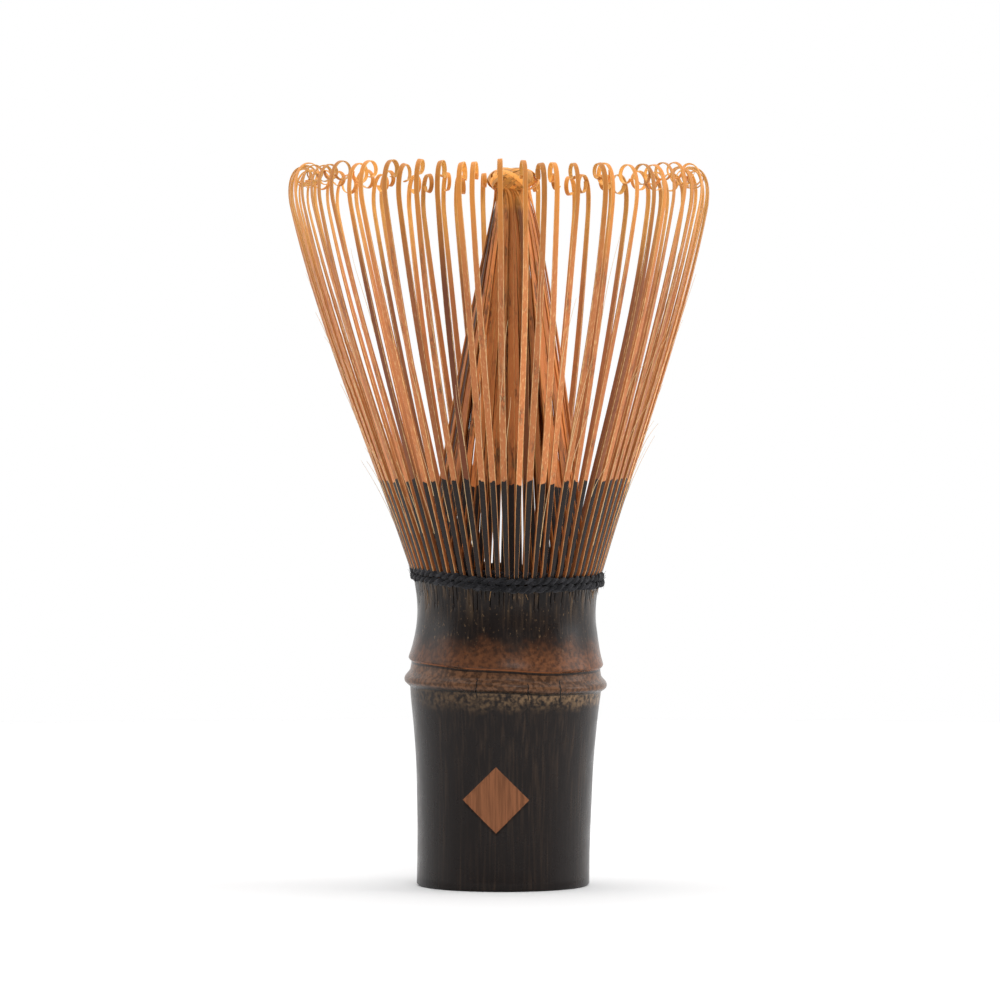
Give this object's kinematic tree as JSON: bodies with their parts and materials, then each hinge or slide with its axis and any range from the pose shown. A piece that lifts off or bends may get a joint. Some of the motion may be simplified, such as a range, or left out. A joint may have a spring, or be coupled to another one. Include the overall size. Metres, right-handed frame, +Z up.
{
  "type": "bamboo tea whisk",
  "caption": "Whisk split from one dark bamboo culm: hollow handle with a node, a flaring outer ring of curled tines, an inner tuft tied in a knot, black lacing thread.",
  "frame": {"origin": "on the surface it stands on, under the middle of the whole object's box, which the ring of curled tips sets", "axes": "+Z up along the culm, -Y towards the front of the handle, +X to the right seen from the front"},
  "size_m": [0.0666, 0.0666, 0.1136],
  "materials": {
    "smoked_skin": "smoked dark bamboo skin, satin, with vertical grain and a reddish band at the node",
    "outer_bamboo": "split bamboo, orange brown and satin, charcoal skin left on the lowest quarter",
    "inner_bamboo": "split bamboo, darker brown with black streaks, matt",
    "black_thread": "black twisted cotton thread, matt"
  },
  "bodies": {
    "handle": {"culm_handle": "smoked_skin", "inner_tines_01": "inner_bamboo", "inner_tines_02": "inner_bamboo", "inner_tines_03": "inner_bamboo", "inner_tines_04": "inner_bamboo", "inner_tines_05": "inner_bamboo", "inner_tines_06": "inner_bamboo", "inner_tines_07": "inner_bamboo", "inner_tines_08": "inner_bamboo", "inner_tines_09": "inner_bamboo", "inner_tines_10": "inner_bamboo", "inner_tines_11": "inner_bamboo", "inner_tines_12": "inner_bamboo", "inner_tines_13": "inner_bamboo", "inner_tines_14": "inner_bamboo", "inner_tines_15": "inner_bamboo", "inner_tines_16": "inner_bamboo", "lacing_lower_strand": "black_thread", "lacing_upper_strand": "black_thread", "lacing_inner_strand": "black_thread"},
    "outer_01a": {"outer_tines_01a": "outer_bamboo"},
    "outer_01b": {"outer_tines_01b": "outer_bamboo"},
    "outer_02a": {"outer_tines_02a": "outer_bamboo"},
    "outer_02b": {"outer_tines_02b": "outer_bamboo"},
    "outer_03a": {"outer_tines_03a": "outer_bamboo"},
    "outer_03b": {"outer_tines_03b": "outer_bamboo"},
    "outer_04a": {"outer_tines_04a": "outer_bamboo"},
    "outer_04b": {"outer_tines_04b": "outer_bamboo"},
    "outer_05a": {"outer_tines_05a": "outer_bamboo"},
    "outer_05b": {"outer_tines_05b": "outer_bamboo"},
    "outer_06a": {"outer_tines_06a": "outer_bamboo"},
    "outer_06b": {"outer_tines_06b": "outer_bamboo"},
    "outer_07a": {"outer_tines_07a": "outer_bamboo"},
    "outer_07b": {"outer_tines_07b": "outer_bamboo"},
    "outer_08a": {"outer_tines_08a": "outer_bamboo"},
    "outer_08b": {"outer_tines_08b": "outer_bamboo"},
    "outer_09a": {"outer_tines_09a": "outer_bamboo"},
    "outer_09b": {"outer_tines_09b": "outer_bamboo"},
    "outer_10a": {"outer_tines_10a": "outer_bamboo"},
    "outer_10b": {"outer_tines_10b": "outer_bamboo"},
    "outer_11a": {"outer_tines_11a": "outer_bamboo"},
    "outer_11b": {"outer_tines_11b": "outer_bamboo"},
    "outer_12a": {"outer_tines_12a": "outer_bamboo"},
    "outer_12b": {"outer_tines_12b": "outer_bamboo"},
    "outer_13a": {"outer_tines_13a": "outer_bamboo"},
    "outer_13b": {"outer_tines_13b": "outer_bamboo"},
    "outer_14a": {"outer_tines_14a": "outer_bamboo"},
    "outer_14b": {"outer_tines_14b": "outer_bamboo"},
    "outer_15a": {"outer_tines_15a": "outer_bamboo"},
    "outer_15b": {"outer_tines_15b": "outer_bamboo"},
    "outer_16a": {"outer_tines_16a": "outer_bamboo"},
    "outer_16b": {"outer_tines_16b": "outer_bamboo"}
  },
  "joints": [
    {"name": "flex_01a", "type": "hinge", "parent": "handle", "child": "outer_01a", "pos_m": [0.00203, -0.01398, 0.0478], "axis": [0.9988, 0.0491, 0], "range_deg": [-6, 8], "stiffness_Nm_per_rad": 0.004},
    {"name": "flex_01b", "type": "hinge", "parent": "handle", "child": "outer_01b", "pos_m": [0.00475, -0.01358, 0.0478], "axis": [0.97, 0.243, 0], "range_deg": [-6, 8], "stiffness_Nm_per_rad": 0.004},
    {"name": "flex_02a", "type": "hinge", "parent": "handle", "child": "outer_02a", "pos_m": [0.00733, -0.01266, 0.0478], "axis": [0.904, 0.4276, 0], "range_deg": [-6, 8], "stiffness_Nm_per_rad": 0.004},
    {"name": "flex_02b", "type": "hinge", "parent": "handle", "child": "outer_02b", "pos_m": [0.00969, -0.01124, 0.0478], "axis": [0.8032, 0.5957, 0], "range_deg": [-6, 8], "stiffness_Nm_per_rad": 0.004},
    {"name": "flex_03a", "type": "hinge", "parent": "handle", "child": "outer_03a", "pos_m": [0.01172, -0.0094, 0.0478], "axis": [0.6716, 0.741, 0], "range_deg": [-6, 8], "stiffness_Nm_per_rad": 0.004},
    {"name": "flex_03b", "type": "hinge", "parent": "handle", "child": "outer_03b", "pos_m": [0.01336, -0.0072, 0.0478], "axis": [0.5141, 0.8577, 0], "range_deg": [-6, 8], "stiffness_Nm_per_rad": 0.004},
    {"name": "flex_04a", "type": "hinge", "parent": "handle", "child": "outer_04a", "pos_m": [0.01453, -0.00472, 0.0478], "axis": [0.3369, 0.9415, 0], "range_deg": [-6, 8], "stiffness_Nm_per_rad": 0.004},
    {"name": "flex_04b", "type": "hinge", "parent": "handle", "child": "outer_04b", "pos_m": [0.0152, -0.00205, 0.0478], "axis": [0.1467, 0.9892, 0], "range_deg": [-6, 8], "stiffness_Nm_per_rad": 0.004},
    {"name": "flex_05a", "type": "hinge", "parent": "handle", "child": "outer_05a", "pos_m": [0.01533, 0.00069, 0.0478], "axis": [-0.0491, 0.9988, 0], "range_deg": [-6, 8], "stiffness_Nm_per_rad": 0.004},
    {"name": "flex_05b", "type": "hinge", "parent": "handle", "child": "outer_05b", "pos_m": [0.01493, 0.0034, 0.0478], "axis": [-0.243, 0.97, 0], "range_deg": [-6, 8], "stiffness_Nm_per_rad": 0.004},
    {"name": "flex_06a", "type": "hinge", "parent": "handle", "child": "outer_06a", "pos_m": [0.014, 0.00599, 0.0478], "axis": [-0.4276, 0.904, 0], "range_deg": [-6, 8], "stiffness_Nm_per_rad": 0.004},
    {"name": "flex_06b", "type": "hinge", "parent": "handle", "child": "outer_06b", "pos_m": [0.01259, 0.00834, 0.0478], "axis": [-0.5957, 0.8032, 0], "range_deg": [-6, 8], "stiffness_Nm_per_rad": 0.004},
    {"name": "flex_07a", "type": "hinge", "parent": "handle", "child": "outer_07a", "pos_m": [0.01075, 0.01037, 0.0478], "axis": [-0.741, 0.6716, 0], "range_deg": [-6, 8], "stiffness_Nm_per_rad": 0.004},
    {"name": "flex_07b", "type": "hinge", "parent": "handle", "child": "outer_07b", "pos_m": [0.00854, 0.01201, 0.0478], "axis": [-0.8577, 0.5141, 0], "range_deg": [-6, 8], "stiffness_Nm_per_rad": 0.004},
    {"name": "flex_08a", "type": "hinge", "parent": "handle", "child": "outer_08a", "pos_m": [0.00606, 0.01318, 0.0478], "axis": [-0.9415, 0.3369, 0], "range_deg": [-6, 8], "stiffness_Nm_per_rad": 0.004},
    {"name": "flex_08b", "type": "hinge", "parent": "handle", "child": "outer_08b", "pos_m": [0.0034, 0.01385, 0.0478], "axis": [-0.9892, 0.1467, 0], "range_deg": [-6, 8], "stiffness_Nm_per_rad": 0.004},
    {"name": "flex_09a", "type": "hinge", "parent": "handle", "child": "outer_09a", "pos_m": [0.00066, 0.01398, 0.0478], "axis": [-0.9988, -0.0491, 0], "range_deg": [-6, 8], "stiffness_Nm_per_rad": 0.004},
    {"name": "flex_09b", "type": "hinge", "parent": "handle", "child": "outer_09b", "pos_m": [-0.00205, 0.01358, 0.0478], "axis": [-0.97, -0.243, 0], "range_deg": [-6, 8], "stiffness_Nm_per_rad": 0.004},
    {"name": "flex_10a", "type": "hinge", "parent": "handle", "child": "outer_10a", "pos_m": [-0.00464, 0.01266, 0.0478], "axis": [-0.904, -0.4276, 0], "range_deg": [-6, 8], "stiffness_Nm_per_rad": 0.004},
    {"name": "flex_10b", "type": "hinge", "parent": "handle", "child": "outer_10b", "pos_m": [-0.00699, 0.01124, 0.0478], "axis": [-0.8032, -0.5957, 0], "range_deg": [-6, 8], "stiffness_Nm_per_rad": 0.004},
    {"name": "flex_11a", "type": "hinge", "parent": "handle", "child": "outer_11a", "pos_m": [-0.00903, 0.0094, 0.0478], "axis": [-0.6716, -0.741, 0], "range_deg": [-6, 8], "stiffness_Nm_per_rad": 0.004},
    {"name": "flex_11b", "type": "hinge", "parent": "handle", "child": "outer_11b", "pos_m": [-0.01066, 0.0072, 0.0478], "axis": [-0.5141, -0.8577, 0], "range_deg": [-6, 8], "stiffness_Nm_per_rad": 0.004},
    {"name": "flex_12a", "type": "hinge", "parent": "handle", "child": "outer_12a", "pos_m": [-0.01183, 0.00472, 0.0478], "axis": [-0.3369, -0.9415, 0], "range_deg": [-6, 8], "stiffness_Nm_per_rad": 0.004},
    {"name": "flex_12b", "type": "hinge", "parent": "handle", "child": "outer_12b", "pos_m": [-0.0125, 0.00205, 0.0478], "axis": [-0.1467, -0.9892, 0], "range_deg": [-6, 8], "stiffness_Nm_per_rad": 0.004},
    {"name": "flex_13a", "type": "hinge", "parent": "handle", "child": "outer_13a", "pos_m": [-0.01264, -0.00069, 0.0478], "axis": [0.0491, -0.9988, 0], "range_deg": [-6, 8], "stiffness_Nm_per_rad": 0.004},
    {"name": "flex_13b", "type": "hinge", "parent": "handle", "child": "outer_13b", "pos_m": [-0.01223, -0.0034, 0.0478], "axis": [0.243, -0.97, 0], "range_deg": [-6, 8], "stiffness_Nm_per_rad": 0.004},
    {"name": "flex_14a", "type": "hinge", "parent": "handle", "child": "outer_14a", "pos_m": [-0.01131, -0.00599, 0.0478], "axis": [0.4276, -0.904, 0], "range_deg": [-6, 8], "stiffness_Nm_per_rad": 0.004},
    {"name": "flex_14b", "type": "hinge", "parent": "handle", "child": "outer_14b", "pos_m": [-0.0099, -0.00834, 0.0478], "axis": [0.5957, -0.8032, 0], "range_deg": [-6, 8], "stiffness_Nm_per_rad": 0.004},
    {"name": "flex_15a", "type": "hinge", "parent": "handle", "child": "outer_15a", "pos_m": [-0.00805, -0.01037, 0.0478], "axis": [0.741, -0.6716, 0], "range_deg": [-6, 8], "stiffness_Nm_per_rad": 0.004},
    {"name": "flex_15b", "type": "hinge", "parent": "handle", "child": "outer_15b", "pos_m": [-0.00585, -0.01201, 0.0478], "axis": [0.8577, -0.5141, 0], "range_deg": [-6, 8], "stiffness_Nm_per_rad": 0.004},
    {"name": "flex_16a", "type": "hinge", "parent": "handle", "child": "outer_16a", "pos_m": [-0.00337, -0.01318, 0.0478], "axis": [0.9415, -0.3369, 0], "range_deg": [-6, 8], "stiffness_Nm_per_rad": 0.004},
    {"name": "flex_16b", "type": "hinge", "parent": "handle", "child": "outer_16b", "pos_m": [-0.00071, -0.01385, 0.0478], "axis": [0.9892, -0.1467, 0], "range_deg": [-6, 8], "stiffness_Nm_per_rad": 0.004}
  ],
  "couplings": [
    {"joint": "flex_01b", "follows": "flex_01a", "ratio": 1},
    {"joint": "flex_02b", "follows": "flex_02a", "ratio": 1},
    {"joint": "flex_03b", "follows": "flex_03a", "ratio": 1},
    {"joint": "flex_04b", "follows": "flex_04a", "ratio": 1},
    {"joint": "flex_05b", "follows": "flex_05a", "ratio": 1},
    {"joint": "flex_06b", "follows": "flex_06a", "ratio": 1},
    {"joint": "flex_07b", "follows": "flex_07a", "ratio": 1},
    {"joint": "flex_08b", "follows": "flex_08a", "ratio": 1},
    {"joint": "flex_09b", "follows": "flex_09a", "ratio": 1},
    {"joint": "flex_10b", "follows": "flex_10a", "ratio": 1},
    {"joint": "flex_11b", "follows": "flex_11a", "ratio": 1},
    {"joint": "flex_12b", "follows": "flex_12a", "ratio": 1},
    {"joint": "flex_13b", "follows": "flex_13a", "ratio": 1},
    {"joint": "flex_14b", "follows": "flex_14a", "ratio": 1},
    {"joint": "flex_15b", "follows": "flex_15a", "ratio": 1},
    {"joint": "flex_16b", "follows": "flex_16a", "ratio": 1}
  ]
}
